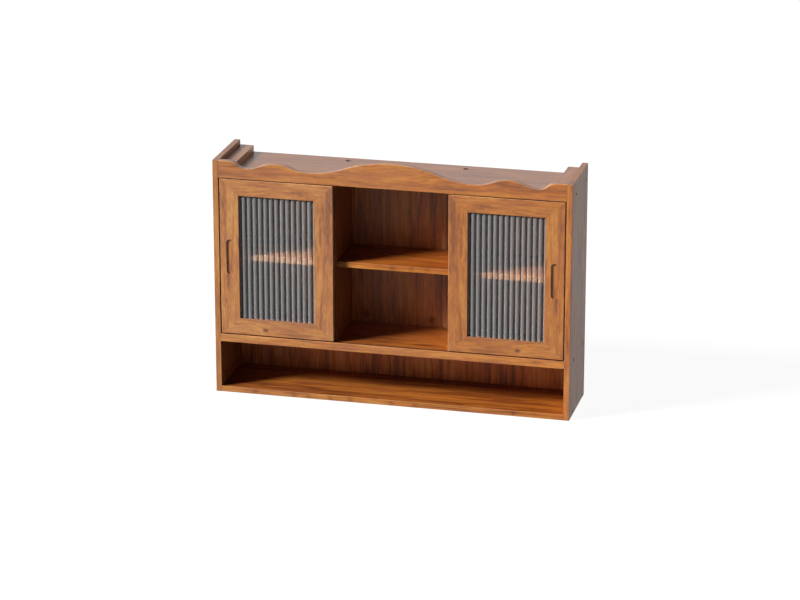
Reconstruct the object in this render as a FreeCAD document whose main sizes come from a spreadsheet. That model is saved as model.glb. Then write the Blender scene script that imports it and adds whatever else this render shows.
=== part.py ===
# Wall cabinet with two sliding doors of fluted glass, three bays, an open bay below
# and a wavy crest along the top. Millimetres, X to the right, Y to the wall, Z up.
import FreeCAD
import Part
import Sketcher
import math
import os
import re

Vector = FreeCAD.Vector

# Driving sizes: name, value, what it measures.
SIZES = [
    ("width", 1000, "overall width over the side panels"),
    ("depth", 217, "overall depth, front edge to wall"),
    ("side_height", 669, "height of the side panels"),
    ("board", 16, "thickness of the carcass boards"),
    ("arris", 0.8, "eased front edge of the carcass boards"),
    ("top_level", 637, "upper face of the top panel above the foot"),
    ("middle_level", 170, "upper face of the middle panel"),
    ("middle_board", 22, "thickness of the middle panel"),
    ("divider_offset", 166.5, "middle plane of a divider from the cabinet's middle"),
    ("divider_recess", 22, "front edge of a divider behind the front"),
    ("shelf_level", 398, "upper face of the three shelves"),
    ("centre_recess", 25, "front edge of the centre shelf behind the front"),
    ("side_recess", 22, "front edge of the side shelves behind the front"),
    ("shelf_play", 0.5, "gap round a loose shelf"),
    ("back_board", 5, "thickness of the back panel"),
    ("back_tongue", 5, "how far the back panel enters its grooves"),
    ("groove_depth", 6, "depth of the grooves for the back panel"),
    ("rail_board", 16, "thickness of the hanging rail behind the back panel"),
    ("rail_height", 70, "height of the hanging rail"),
    ("wall_spacing", 600, "distance between the two wall screws"),
    ("wall_hole", 6.5, "hole for a wall screw"),
    ("batten_width", 39, "width of the battens on the top panel"),
    ("batten_height", 18, "height of the battens on the top panel"),
    ("crest_board", 16, "thickness of the crest rail"),
    ("crest_arris", 1, "eased front edge of the wavy crest"),
    ("horn_width", 29, "flat end of the crest beside each side panel"),
    ("outer_trough", 407, "outer trough of the crest from the middle"),
    ("outer_trough_level", 650.3, "height of the outer trough"),
    ("small_hump", 324, "small hump of the crest from the middle"),
    ("small_hump_level", 668.8, "height of the small hump"),
    ("inner_trough", 234, "inner trough of the crest from the middle"),
    ("inner_trough_level", 650.4, "height of the inner trough"),
    ("peak_level", 691.5, "height of the crest's middle"),
    ("peak_radius", 378, "radius of the crest's middle hump"),
    ("door_width", 320, "width of a door"),
    ("door_thickness", 16, "thickness of a door"),
    ("door_arris", 1.2, "eased edges of a door frame"),
    ("door_side_gap", 3, "gap between a closed door and its side panel"),
    ("door_low_gap", 3, "gap under a door"),
    ("door_high_gap", 3, "gap over a door"),
    ("stile", 54, "width of a door stile"),
    ("door_rail", 46.5, "height of a door rail"),
    ("lip", 4, "frame in front of the glass"),
    ("rebate", 8, "width of the rebate that holds the glass"),
    ("glass_play", 1, "gap between the pane's edge and the rebate"),
    ("glass_seat", 0.2, "gap between the ribs and the lip"),
    ("glass_plate", 3.5, "thickness of the pane without its ribs"),
    ("glass_ribs", 15, "number of ribs on a pane"),
    ("rib_height", 2.6, "height of a rib"),
    ("rib_land", 0.9, "flat strip between two ribs"),
    ("bead_play", 0.2, "gap between the ends of the glazing beads"),
    ("slot_width", 20, "width of a finger slot"),
    ("slot_length", 100, "length of a finger slot"),
    ("slot_depth", 4, "depth of a finger slot"),
    ("bottom_track_width", 8, "outer width of the bottom track"),
    ("bottom_track_depth", 6, "height of the bottom track"),
    ("top_track_width", 7, "outer width of the top track"),
    ("top_track_depth", 9, "height of the top track"),
    ("track_wall", 0.9, "side walls of both tracks"),
    ("track_floor", 1.2, "web of both tracks"),
    ("running_play", 0.2, "gap between a roller and its track"),
    ("roller_inset", 80, "roller's axle from the door's edge"),
    ("roller_radius", 11, "radius of a roller"),
    ("roller_width", 4.4, "width of a roller"),
    ("roller_gap", 1, "gap between a roller and its housing"),
    ("axle_diameter", 3, "diameter of a roller's axle"),
    ("axle_play", 0.1, "gap round the axle"),
    ("housing_length", 30, "length of a roller housing"),
    ("housing_width", 10, "width of a roller housing"),
    ("housing_height", 20, "height of a roller housing"),
    ("guide_inset", 80, "guide pin from the door's edge"),
    ("bush_diameter", 9, "outer diameter of a guide bush"),
    ("bush_length", 24, "length of a guide bush"),
    ("bush_bore", 6.4, "bore of a guide bush"),
    ("bush_lip", 2, "lip that keeps the pin in its bush"),
    ("bush_floor", 2, "floor of a guide bush"),
    ("pin_diameter", 4.6, "diameter of a guide pin"),
    ("pin_play", 0.2, "gap round the pin in the bush's lip"),
    ("pin_reach", 6, "how far a guide pin enters the top track"),
    ("shoulder_diameter", 6, "shoulder that keeps a guide pin in"),
    ("shoulder_height", 4, "height of that shoulder"),
    ("spring_wire", 0.8, "wall of the spring under a guide pin"),
    ("spring_diameter", 5.6, "outer diameter of that spring"),
    ("fit", 0.2, "gap at a loose seat"),
    ("screw_front", 52, "front carcass screws behind the front"),
    ("screw_back", 29, "rear carcass screws in front of the wall"),
    ("divider_screw_front", 62, "front divider screws behind the front"),
    ("screw_length", 50, "length of a carcass screw"),
    ("screw_head", 9, "diameter of its head"),
    ("screw_head_height", 3, "height of its head"),
    ("screw_shank", 6, "diameter of its shank"),
    ("screw_sink", 1.5, "how far its head lies below the surface"),
    ("dowel_diameter", 8, "diameter of a carcass dowel"),
    ("dowel_length", 24, "length of a carcass dowel"),
    ("dowel_seat", 10, "how far a carcass dowel enters the outer board"),
    ("crest_dowel_low", 18, "lower crest dowel above the crest's lower edge"),
    ("crest_dowel_high", 36, "upper crest dowel above the crest's lower edge"),
    ("rail_dowel_spacing", 36, "distance between the hanging rail's dowels"),
    ("batten_dowel_front", 85, "front batten dowel behind the front"),
    ("batten_dowel_back", 62, "rear batten dowel in front of the wall"),
    ("frame_dowel_diameter", 6, "diameter of a dowel in a door's corner"),
    ("frame_dowel_length", 32, "length of a dowel in a door's corner"),
    ("pin_seat", 6.5, "how far a shelf pin enters its board"),
    ("pin_seat_diameter", 5, "diameter of a shelf pin in its board"),
    ("peg_diameter", 7, "diameter of a shelf pin under the shelf"),
    ("peg_length", 9, "length of a shelf pin under the shelf"),
    ("peg_play", 0.1, "gap between a shelf and its pins"),
    ("centre_pin_front", 60, "front pins of the centre shelf behind the front"),
    ("centre_pin_back", 52, "rear pins of the centre shelf in front of the wall"),
    ("side_pin_front", 75, "front pins of the side shelves behind the front"),
    ("side_pin_back", 67, "rear pins of the side shelves in front of the wall"),
]
NAMES = {name for name, size, meaning in SIZES}

# Places that several pieces share, from the left face, the front face and the foot.
CABINET = ("-width / 2", "-depth / 2", "0")
INNER = "(width - 2 * board)"
CREST_LOW = "(top_level - board)"
BACK_FACE = "(depth - rail_board - back_board)"
SHELF_LOW = "(shelf_level - board)"
DIVIDER = {
    "left": "(width / 2 - divider_offset - board / 2)",
    "right": "(width / 2 + divider_offset - board / 2)",
}
DOOR_LEFT = {
    "left": "(board + door_side_gap)",
    "right": "(width - board - door_side_gap - door_width)",
}
DOOR_LOW = "(middle_level + door_low_gap)"
DOOR_HEIGHT = "(top_level - board - door_high_gap - middle_level - door_low_gap)"
DOOR_MIDDLE = "(door_thickness / 2)"
PANEL_LEVELS = ["(top_level - board / 2)", "(middle_level - middle_board / 2)", "(board / 2)"]
SCREW_DEPTHS = ["screw_front", "(depth - screw_back)"]
DIVIDER_DEPTHS = ["divider_screw_front", "(depth - screw_back)"]
CREST_DOWELS = ["(top_level - board + crest_dowel_low)", "(top_level - board + crest_dowel_high)"]
RAIL_MIDDLE = "(top_level - board - rail_height / 2)"
RAIL_DOWELS = [RAIL_MIDDLE + " - rail_dowel_spacing / 2", RAIL_MIDDLE + " + rail_dowel_spacing / 2"]
RAIL_DEPTH = "(depth - rail_board / 2)"
BATTEN_DEPTHS = ["batten_dowel_front", "(depth - batten_dowel_back)"]
PEG_LEVEL = "(shelf_level - board - peg_diameter / 2 - peg_play)"
CENTRE_PINS = ["centre_pin_front", "(depth - centre_pin_back)"]
SIDE_PINS = ["side_pin_front", "(depth - side_pin_back)"]
AXLE_LEVEL = "(roller_radius + running_play + track_floor - bottom_track_depth - door_low_gap)"
PLATE_FRONT = "(lip + glass_seat + rib_height)"
PLATE_BACK = "(lip + glass_seat + rib_height + glass_plate)"
PANE_LEFT = "(stile - rebate + glass_play)"
PANE_WIDTH = "(door_width - 2 * (stile - rebate + glass_play))"
PANE_LOW = "(door_rail - rebate + glass_play)"
PANE_HEIGHT = "(" + DOOR_HEIGHT + " - 2 * (door_rail - rebate + glass_play))"
RIB_PITCH = "(" + PANE_WIDTH + " / glass_ribs)"
SHOULDER_TOP = "(" + DOOR_HEIGHT + " - bush_lip - fit)"
BUSH_LOW = "(" + DOOR_HEIGHT + " - bush_length)"
ROLLER_COLUMNS = ["roller_inset", "(door_width - roller_inset)"]
GUIDE_COLUMNS = ["guide_inset", "(door_width - guide_inset)"]

# Small repeated fasteners and their holes are drawn with flat sides, more of them where they show.
HIDDEN_SIDES = 8
SHOWN_SIDES = 12

# Sketch planes: the origin plane, and whether its normal points along the axis or against it.
PLANES = {"X": ("YZ_Plane", 1), "Y": ("XZ_Plane", -1), "Z": ("XY_Plane", 1)}

doc = FreeCAD.newDocument("sliding_door_wall_cabinet")
sheet = doc.addObject("Spreadsheet::Sheet", "sizes")
for row, (name, size, meaning) in enumerate(SIZES, 1):
    sheet.set("A%d" % row, meaning)
    sheet.set("B%d" % row, str(size))
    sheet.setAlias("B%d" % row, name)
doc.recompute()


def bind(formula):
    """Turns the size names in a formula into references to the sheet."""
    def refer(match):
        word = match.group()
        return "sizes." + word if word in NAMES else word
    return re.sub("[a-z_]+", refer, formula)


def tie(thing, path, formula):
    thing.setExpression(path, bind(formula))


def place(thing, x, y, z):
    for axis, formula in zip("xyz", (x, y, z)):
        tie(thing, "Placement.Base." + axis, formula)


def size_of(name):
    return float(getattr(sheet, name))


def new_body(label):
    body = doc.addObject("PartDesign::Body", label)
    body.Label = label
    return body


def new_sketch(body, axis, offset="0"):
    """Starts a sketch square to an axis of its body, at a distance along that axis."""
    role, sign = PLANES[axis]
    sketch = body.newObject("Sketcher::SketchObject", "sketch")
    plane = [feature for feature in body.Origin.OriginFeatures if feature.Role == role][0]
    sketch.AttachmentSupport = [(plane, "")]
    sketch.MapMode = "FlatFace"
    tie(sketch, "AttachmentOffset.Base.z", offset if sign > 0 else "-(%s)" % offset)
    return sketch


def fix_length(sketch, kind, formula, *where):
    """Adds a sized constraint; the last value in where is its first guess."""
    number = sketch.addConstraint(Sketcher.Constraint(kind, *where))
    tie(sketch, "Constraints[%d]" % number, formula)


def fix_point(sketch, item, end, x, y, guess):
    fix_length(sketch, "DistanceX", x, -1, 1, item, end, guess.x)
    fix_length(sketch, "DistanceY", y, -1, 1, item, end, guess.y)


def draw_polygon(sketch, corners):
    """Draws a closed outline through corners given as pairs of formulas."""
    first = sketch.GeometryCount
    count = len(corners)
    turn = 2 * math.pi / count
    guesses = [Vector(math.cos(0.3 + turn * i), math.sin(0.3 + turn * i), 0) for i in range(count)]
    for i in range(count):
        sketch.addGeometry(Part.LineSegment(guesses[i], guesses[(i + 1) % count]))
    for i in range(count):
        sketch.addConstraint(Sketcher.Constraint("Coincident", first + i, 2, first + (i + 1) % count, 1))
    for i, (x, y) in enumerate(corners):
        fix_point(sketch, first + i, 1, x, y, guesses[i])


def draw_rectangle(sketch, x, y, x_size, y_size):
    right = "%s + %s" % (x, x_size)
    top = "%s + %s" % (y, y_size)
    draw_polygon(sketch, [(x, y), (right, y), (right, top), (x, top)])


def draw_facets(sketch, centres, diameter, sides):
    """Draws regular polygons whose corners lie on circles of one diameter."""
    for x, y in centres:
        corners = []
        for i in range(sides):
            angle = 2 * math.pi * (i + 0.5) / sides
            corners.append(("%s + (%s) / 2 * %.9f" % (x, diameter, math.cos(angle)),
                            "%s + (%s) / 2 * %.9f" % (y, diameter, math.sin(angle))))
        draw_polygon(sketch, corners)


def draw_circles(sketch, centres, diameter):
    for i, (x, y) in enumerate(centres):
        guess = Vector(10 + 10 * i, 5, 0)
        item = sketch.addGeometry(Part.Circle(guess, Vector(0, 0, 1), 2))
        fix_point(sketch, item, 3, x, y, guess)
        fix_length(sketch, "Diameter", diameter, item, 4)


def pad(body, sketch, axis, length):
    feature = body.newObject("PartDesign::Pad", "pad")
    feature.Profile = sketch
    feature.Reversed = PLANES[axis][1] < 0
    tie(feature, "Length", length)
    return feature


def pocket(body, sketch, axis, length):
    feature = body.newObject("PartDesign::Pocket", "pocket")
    feature.Profile = sketch
    feature.Reversed = PLANES[axis][1] > 0
    tie(feature, "Length", length)
    return feature


def board(label, low, size):
    """A plain board, given by its low corner and its size along X, Y and Z."""
    body = new_body(label)
    sketch = new_sketch(body, "Z", low[2])
    draw_rectangle(sketch, low[0], low[1], size[0], size[1])
    pad(body, sketch, "Z", size[2])
    place(body, *CABINET)
    return body


def ease(body, size, wanted):
    """Chamfers the front edges of a piece that the test wanted accepts, by their two ends."""
    doc.recompute()
    base = body.Tip
    front = base.Shape.BoundBox.YMin
    names = []
    for number, edge in enumerate(base.Shape.Edges, 1):
        start, end = [vertex.Point for vertex in edge.Vertexes]
        in_front = abs(start.y - front) + abs(end.y - front) < 0.001
        if in_front and wanted(start, end):
            names.append("Edge%d" % number)
    chamfer = body.newObject("PartDesign::Chamfer", "eased_edges")
    chamfer.Base = (base, names)
    tie(chamfer, "Size", size)


def ease_front(body, along, size):
    """Chamfers the front edges of a piece that run along x or z."""
    ease(body, size, lambda start, end: abs(getattr(end - start, along)) > 0.999 * (end - start).Length)


def bore(body, axis, centres, diameter, start, length, sides=HIDDEN_SIDES):
    """Faceted holes for fasteners along an axis, from start onwards."""
    sketch = new_sketch(body, axis, start)
    draw_facets(sketch, centres, diameter, sides)
    return pocket(body, sketch, axis, length)


def drill(body, axis, centres, diameter, start, length):
    """Round holes along an axis, from start onwards."""
    sketch = new_sketch(body, axis, start)
    draw_circles(sketch, centres, diameter)
    return pocket(body, sketch, axis, length)


def trench(body, axis, x, y, x_size, y_size, start, length):
    """A rectangular cut along an axis, from start onwards."""
    sketch = new_sketch(body, axis, start)
    draw_rectangle(sketch, x, y, x_size, y_size)
    return pocket(body, sketch, axis, length)


def stepped(label, steps, sides=HIDDEN_SIDES):
    """A small stepped piece along Z: each step is a diameter and the heights where it starts and ends."""
    body = new_body(label)
    for diameter, start, end in steps:
        sketch = new_sketch(body, "Z", start)
        draw_facets(sketch, [("0", "0")], diameter, sides)
        pad(body, sketch, "Z", "%s - (%s)" % (end, start))
    return body


def group(label, master, places):
    """Copies of one piece: each place is a direction for its Z axis, and x, y and z."""
    links = []
    for direction, x, y, z in places:
        link = doc.addObject("App::Link", label + "_copy")
        link.setLink(master)
        link.Placement = FreeCAD.Placement(Vector(), FreeCAD.Rotation(Vector(0, 0, 1), Vector(*direction)))
        place(link, CABINET[0] + " + " + x, CABINET[1] + " + " + y, z)
        links.append(link)
    compound = doc.addObject("Part::Compound", label)
    compound.Label = label
    compound.Links = links
    return compound


def pairs(firsts, seconds):
    return [(first, second) for first in firsts for second in seconds]


def from_side(side, near, far):
    """Where a cut starts that runs from near to far inside a side panel's outer face."""
    return near if side == "left" else "width - (%s)" % far


def side_panel(side):
    """Full-height end of the cabinet with its screw holes, dowel holes and back groove."""
    low = from_side(side, "0", "board")
    body = board(side + "_side_panel", (low, "0", "0"), ("board", "depth", "side_height"))
    ease_front(body, "z", "arris")
    screws = pairs(SCREW_DEPTHS, PANEL_LEVELS)
    head_room = "(screw_sink + screw_head_height)"
    bore(body, "X", screws, "screw_shank + 2 * fit", low, "board")
    bore(body, "X", screws, "screw_head + 2 * fit", from_side(side, "0", head_room), head_room, SHOWN_SIDES)
    groove = from_side(side, "(board - groove_depth)", "board")
    trench(body, "Z", groove, BACK_FACE, "groove_depth", "back_board",
           "board - groove_depth", CREST_LOW + " - board + 2 * groove_depth")
    dowels = [("(crest_board / 2)", level) for level in CREST_DOWELS]
    dowels += [(RAIL_DEPTH, level) for level in RAIL_DOWELS]
    seat = from_side(side, "(board - dowel_seat - fit)", "board")
    bore(body, "X", dowels, "dowel_diameter + 2 * fit", seat, "dowel_seat + fit")
    pin_seat = from_side(side, "(board - pin_seat - fit)", "board")
    pins = [(depth, PEG_LEVEL) for depth in SIDE_PINS]
    bore(body, "X", pins, "pin_seat_diameter + 2 * fit", pin_seat, "pin_seat + fit")
    return body


def end_bores(body, level):
    """Holes for the carcass screws in both ends of a panel."""
    centres = [(depth, level) for depth in SCREW_DEPTHS]
    length = "(screw_sink + screw_length - board + fit)"
    bore(body, "X", centres, "screw_shank + 2 * fit", "board", length)
    bore(body, "X", centres, "screw_shank + 2 * fit", "width - board - " + length, length)


def divider_screw_places():
    columns = ["(width / 2 - divider_offset)", "(width / 2 + divider_offset)"]
    return pairs(columns, DIVIDER_DEPTHS)


def batten_dowel_places():
    columns = ["(board + batten_width / 2)", "(width - board - batten_width / 2)"]
    return pairs(columns, BATTEN_DEPTHS)


def top_panel():
    """Panel under the battens; the crest covers its front edge."""
    low = ("board", "crest_board", CREST_LOW)
    body = board("top_panel", low, (INNER, "depth - crest_board", "board"))
    end_bores(body, PANEL_LEVELS[0])
    screws = divider_screw_places()
    head_room = "(screw_sink + screw_head_height)"
    bore(body, "Z", screws, "screw_shank + 2 * fit", CREST_LOW, "board")
    bore(body, "Z", screws, "screw_head + 2 * fit", "top_level - " + head_room, head_room, SHOWN_SIDES)
    trench(body, "X", BACK_FACE, CREST_LOW, "back_board", "groove_depth", "board", INNER)
    dowels = batten_dowel_places()
    bore(body, "Z", dowels, "dowel_diameter + 2 * fit", "top_level - dowel_seat - fit", "dowel_seat + fit")
    return body


def middle_panel():
    """Thicker panel that carries the doors in its track groove."""
    low = ("board", "0", "middle_level - middle_board")
    body = board("middle_panel", low, (INNER, BACK_FACE, "middle_board"))
    ease_front(body, "x", "arris")
    end_bores(body, PANEL_LEVELS[1])
    screws = divider_screw_places()
    head_room = "screw_sink + screw_head_height"
    bore(body, "Z", screws, "screw_shank + 2 * fit", low[2], "middle_board")
    bore(body, "Z", screws, "screw_head + 2 * fit", low[2], head_room, SHOWN_SIDES)
    trench(body, "X", DOOR_MIDDLE + " - bottom_track_width / 2", "middle_level - bottom_track_depth",
           "bottom_track_width", "bottom_track_depth", "board", INNER)
    return body


def bottom_panel():
    """Floor of the open bay, grooved for the back panel."""
    body = board("bottom_panel", ("board", "0", "0"), (INNER, "depth", "board"))
    ease_front(body, "x", "arris")
    end_bores(body, PANEL_LEVELS[2])
    trench(body, "X", BACK_FACE, "board - groove_depth", "back_board", "groove_depth", "board", INNER)
    return body


def divider(side):
    """Upright between two bays, behind the doors."""
    low = (DIVIDER[side], "divider_recess", "middle_level")
    height = CREST_LOW + " - middle_level"
    body = board(side + "_divider", low, ("board", BACK_FACE + " - divider_recess", height))
    ease_front(body, "z", "arris")
    screws = [(DIVIDER[side] + " + board / 2", depth) for depth in DIVIDER_DEPTHS]
    upper = "(screw_sink + screw_length - board + fit)"
    lower = "(screw_sink + screw_length - middle_board + fit)"
    bore(body, "Z", screws, "screw_shank + 2 * fit", CREST_LOW + " - " + upper, upper)
    bore(body, "Z", screws, "screw_shank + 2 * fit", "middle_level", lower)
    centre_pins = [(depth, PEG_LEVEL) for depth in CENTRE_PINS]
    side_pins = [(depth, PEG_LEVEL) for depth in SIDE_PINS]
    left_pins, right_pins = (side_pins, centre_pins) if side == "left" else (centre_pins, side_pins)
    bore(body, "X", left_pins, "pin_seat_diameter + 2 * fit", DIVIDER[side], "pin_seat + fit")
    right_seat = DIVIDER[side] + " + board - pin_seat - fit"
    bore(body, "X", right_pins, "pin_seat_diameter + 2 * fit", right_seat, "pin_seat + fit")
    return body


def shelf(label, left, right, recess):
    """A shelf between two uprights, given by the faces that it lies between."""
    low = (left + " + shelf_play", recess, SHELF_LOW)
    length = "%s - %s - 2 * shelf_play" % (right, left)
    body = board(label, low, (length, BACK_FACE + " - shelf_play - " + recess, "board"))
    ease_front(body, "x", "arris")
    return body


def back_panel():
    """Thin back in grooves all round, drilled for the wall screws."""
    low = ("board - back_tongue", BACK_FACE, "board - back_tongue")
    size = (INNER + " + 2 * back_tongue", "back_board", CREST_LOW + " - board + 2 * back_tongue")
    body = board("back_panel", low, size)
    drill(body, "Y", wall_screw_places(), "wall_hole", BACK_FACE, "back_board")
    return body


def wall_screw_places():
    columns = ["(width / 2 - wall_spacing / 2)", "(width / 2 + wall_spacing / 2)"]
    return [(column, RAIL_MIDDLE) for column in columns]


def hanging_rail():
    """Rail behind the back panel that takes the wall screws."""
    low = ("board", "depth - rail_board", CREST_LOW + " - rail_height")
    body = board("hanging_rail", low, (INNER, "rail_board", "rail_height"))
    drill(body, "Y", wall_screw_places(), "wall_hole", "depth - rail_board", "rail_board")
    dowels = [(RAIL_DEPTH, level) for level in RAIL_DOWELS]
    length = "(dowel_length - dowel_seat + fit)"
    bore(body, "X", dowels, "dowel_diameter + 2 * fit", "board", length)
    bore(body, "X", dowels, "dowel_diameter + 2 * fit", "width - board - " + length, length)
    return body


def top_batten(side):
    """Flat batten on the top panel, against a side panel."""
    low = (from_side(side, "board", "board + batten_width"), "crest_board", "top_level")
    body = board(side + "_top_batten", low, ("batten_width", "depth - crest_board", "batten_height"))
    column = low[0] + " + batten_width / 2"
    dowels = [(column, depth) for depth in BATTEN_DEPTHS]
    bore(body, "Z", dowels, "dowel_diameter + 2 * fit", "top_level", "dowel_length - dowel_seat + fit")
    return body


def swing(start, end, share):
    """Meeting point, centres and radii of two arcs between level points; share is the first one's part."""
    rise = end.y - start.y
    length = (end - start).Length
    joint = start + (end - start) * share
    radii = [part * length * length / (2 * abs(rise)) for part in (share, 1 - share)]
    up = 1 if rise > 0 else -1
    centres = [start + Vector(0, up * radii[0], 0), end - Vector(0, up * radii[1], 0)]
    return joint, centres, radii


def arc_through(centre, radius, start, end):
    """The shorter arc between two points; returns it and whether it runs from start to end."""
    angles = [math.atan2(point.y - centre.y, point.x - centre.x) for point in (start, end)]
    forward = (angles[1] - angles[0]) % (2 * math.pi) < math.pi
    first, last = angles if forward else angles[::-1]
    circle = Part.Circle(centre, Vector(0, 0, 1), radius)
    return Part.ArcOfCircle(circle, first, last), forward


def crest_rail():
    """Front rail with a wavy upper edge: half of it is drawn, then mirrored."""
    body = new_body("crest_rail")
    sketch = new_sketch(body, "Y")
    half = "(width / 2 - board)"
    knots = [
        ("0", "peak_level"),
        ("inner_trough", "inner_trough_level"),
        ("small_hump", "small_hump_level"),
        ("outer_trough", "outer_trough_level"),
        (half + " - horn_width", "side_height"),
    ]
    flat_end = size_of("width") / 2 - size_of("board")
    columns = [0, size_of("inner_trough"), size_of("small_hump"), size_of("outer_trough"),
               flat_end - size_of("horn_width")]
    points = [Vector(x, size_of(level), 0) for x, (name, level) in zip(columns, knots)]
    peak_run = points[1] - points[0]
    peak_share = size_of("peak_radius") * 2 * abs(peak_run.y) / peak_run.Length ** 2
    ends = []
    for i in range(len(points) - 1):
        share = peak_share if i == 0 else 0.5
        joint, centres, radii = swing(points[i], points[i + 1], share)
        first, first_forward = arc_through(centres[0], radii[0], points[i], joint)
        second, second_forward = arc_through(centres[1], radii[1], joint, points[i + 1])
        a = sketch.addGeometry(first)
        b = sketch.addGeometry(second)
        a_start, a_end = (1, 2) if first_forward else (2, 1)
        b_start, b_end = (1, 2) if second_forward else (2, 1)
        sketch.addConstraint(Sketcher.Constraint("Tangent", a, a_end, b, b_start))
        sketch.addConstraint(Sketcher.Constraint("Vertical", a, a_start, a, 3))
        sketch.addConstraint(Sketcher.Constraint("Vertical", b, b_end, b, 3))
        fix_point(sketch, a, a_start, knots[i][0], knots[i][1], points[i])
        fix_point(sketch, b, b_end, knots[i + 1][0], knots[i + 1][1], points[i + 1])
        if i == 0:
            fix_length(sketch, "Radius", "peak_radius", a, radii[0])
        else:
            sketch.addConstraint(Sketcher.Constraint("Equal", a, b))
        ends.append((a, a_start, b, b_end))
    corners = [(half, "side_height"), (half, CREST_LOW), ("0", CREST_LOW)]
    low = size_of("top_level") - size_of("board")
    guesses = [points[-1], Vector(flat_end, points[-1].y, 0), Vector(flat_end, low, 0), Vector(0, low, 0)]
    guesses.append(points[0])
    lines = [sketch.addGeometry(Part.LineSegment(guesses[i], guesses[i + 1])) for i in range(4)]
    sketch.addConstraint(Sketcher.Constraint("Coincident", ends[-1][2], ends[-1][3], lines[0], 1))
    sketch.addConstraint(Sketcher.Constraint("Coincident", ends[0][0], ends[0][1], lines[3], 2))
    for i, (x, z) in enumerate(corners):
        sketch.addConstraint(Sketcher.Constraint("Coincident", lines[i], 2, lines[i + 1], 1))
        fix_point(sketch, lines[i], 2, x, z, guesses[i + 1])
    half_pad = pad(body, sketch, "Y", "crest_board")
    doc.recompute()
    mirror = body.newObject("PartDesign::Mirrored", "other_half")
    mirror.Originals = [half_pad]
    plane = [feature for feature in body.Origin.OriginFeatures if feature.Role == "YZ_Plane"][0]
    mirror.MirrorPlane = (plane, [""])
    body.Tip = mirror
    above = size_of("top_level")
    ease(body, "crest_arris", lambda start, end: min(start.z, end.z) > above)
    trench(body, "X", DOOR_MIDDLE + " - top_track_width / 2", CREST_LOW,
           "top_track_width", "top_track_depth", "-" + half, INNER)
    dowels = [("crest_board / 2", level) for level in CREST_DOWELS]
    length = "(dowel_length - dowel_seat + fit)"
    bore(body, "X", dowels, "dowel_diameter + 2 * fit", "-" + half, length)
    bore(body, "X", dowels, "dowel_diameter + 2 * fit", half + " - " + length, length)
    place(body, "0", "-depth / 2", "0")
    return body


def track(label, track_width, web, rim):
    """U-shaped channel along the cabinet; web and rim are the heights of its closed and open sides."""
    body = new_body(label)
    sketch = new_sketch(body, "X", "board")
    front = "%s - %s / 2" % (DOOR_MIDDLE, track_width)
    back = "%s + %s / 2" % (DOOR_MIDDLE, track_width)
    inside = web + " + track_floor" if label == "bottom_track" else web + " - track_floor"
    draw_polygon(sketch, [
        (front, web), (back, web), (back, rim), (back + " - track_wall", rim),
        (back + " - track_wall", inside), (front + " + track_wall", inside),
        (front + " + track_wall", rim), (front, rim),
    ])
    pad(body, sketch, "X", INNER)
    place(body, *CABINET)
    return body


def fasteners():
    """Screws, dowels and shelf pins of the carcass, each kind as one group."""
    screw = stepped("carcass_screw", [
        ("screw_head", "0", "screw_head_height"),
        ("screw_shank", "screw_head_height", "screw_length"),
    ])
    dowel = stepped("carcass_dowel", [("dowel_diameter", "0", "dowel_length")])
    shelf_pin = stepped("shelf_pin", [
        ("pin_seat_diameter", "-pin_seat", "0"),
        ("peg_diameter", "0", "peg_length"),
    ])
    inward = {"left": (1, 0, 0), "right": (-1, 0, 0)}
    up = (0, 0, 1)
    down = (0, 0, -1)

    side_screws = []
    dowels = []
    pins = []
    for side, direction in inward.items():
        for depth, level in pairs(SCREW_DEPTHS, PANEL_LEVELS):
            start = "screw_sink" if side == "left" else "(width - screw_sink)"
            side_screws.append((direction, start, depth, level))
        dowel_end = "(board - dowel_seat)" if side == "left" else "(width - board + dowel_seat)"
        for level in CREST_DOWELS:
            dowels.append((direction, dowel_end, "crest_board / 2", level))
        for level in RAIL_DOWELS:
            dowels.append((direction, dowel_end, RAIL_DEPTH, level))
        outer_face = "board" if side == "left" else "(width - board)"
        bay_face = DIVIDER["left"] if side == "left" else "(%s + board)" % DIVIDER["right"]
        centre_face = "(%s + board)" % DIVIDER["left"] if side == "left" else DIVIDER["right"]
        for depth in SIDE_PINS:
            pins.append((direction, outer_face, depth, PEG_LEVEL))
            pins.append((tuple(-part for part in direction), bay_face, depth, PEG_LEVEL))
        for depth in CENTRE_PINS:
            pins.append((direction, centre_face, depth, PEG_LEVEL))
    for column, depth in batten_dowel_places():
        dowels.append((up, column, depth, "top_level - dowel_seat"))

    divider_screws = []
    for column, depth in divider_screw_places():
        divider_screws.append((down, column, depth, "top_level - screw_sink"))
        divider_screws.append((up, column, depth, "middle_level - middle_board + screw_sink"))

    return [
        group("side_screws", screw, side_screws),
        group("divider_screws", screw, divider_screws),
        group("carcass_dowels", dowel, dowels),
        group("shelf_pins", shelf_pin, pins),
    ]


def put_in_door(body, side, x="0", y="0", z="0"):
    """Places a piece that is drawn from its door's left edge, front face and foot."""
    place(body, "%s + %s + %s" % (CABINET[0], DOOR_LEFT[side], x), "%s + %s" % (CABINET[1], y),
          "%s + %s" % (DOOR_LOW, z))


def frame_members():
    """The four frame members: outline, direction, and the ends and levels of their corner dowels."""
    right = "(door_width - stile)"
    top = "(%s - door_rail)" % DOOR_HEIGHT
    low_dowel = "(door_rail / 2)"
    high_dowel = "(%s - door_rail / 2)" % DOOR_HEIGHT
    return {
        "left": ([("0", "0"), ("stile", "door_rail"), ("stile", top), ("0", DOOR_HEIGHT)],
                 "z", ["left"], [low_dowel, high_dowel]),
        "right": ([("door_width", "0"), ("door_width", DOOR_HEIGHT), (right, top), (right, "door_rail")],
                  "z", ["right"], [low_dowel, high_dowel]),
        "bottom": ([("0", "0"), ("door_width", "0"), (right, "door_rail"), ("stile", "door_rail")],
                   "x", ["left", "right"], [low_dowel]),
        "top": ([("0", DOOR_HEIGHT), ("stile", top), (right, top), ("door_width", DOOR_HEIGHT)],
                "x", ["left", "right"], [high_dowel]),
    }


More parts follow.
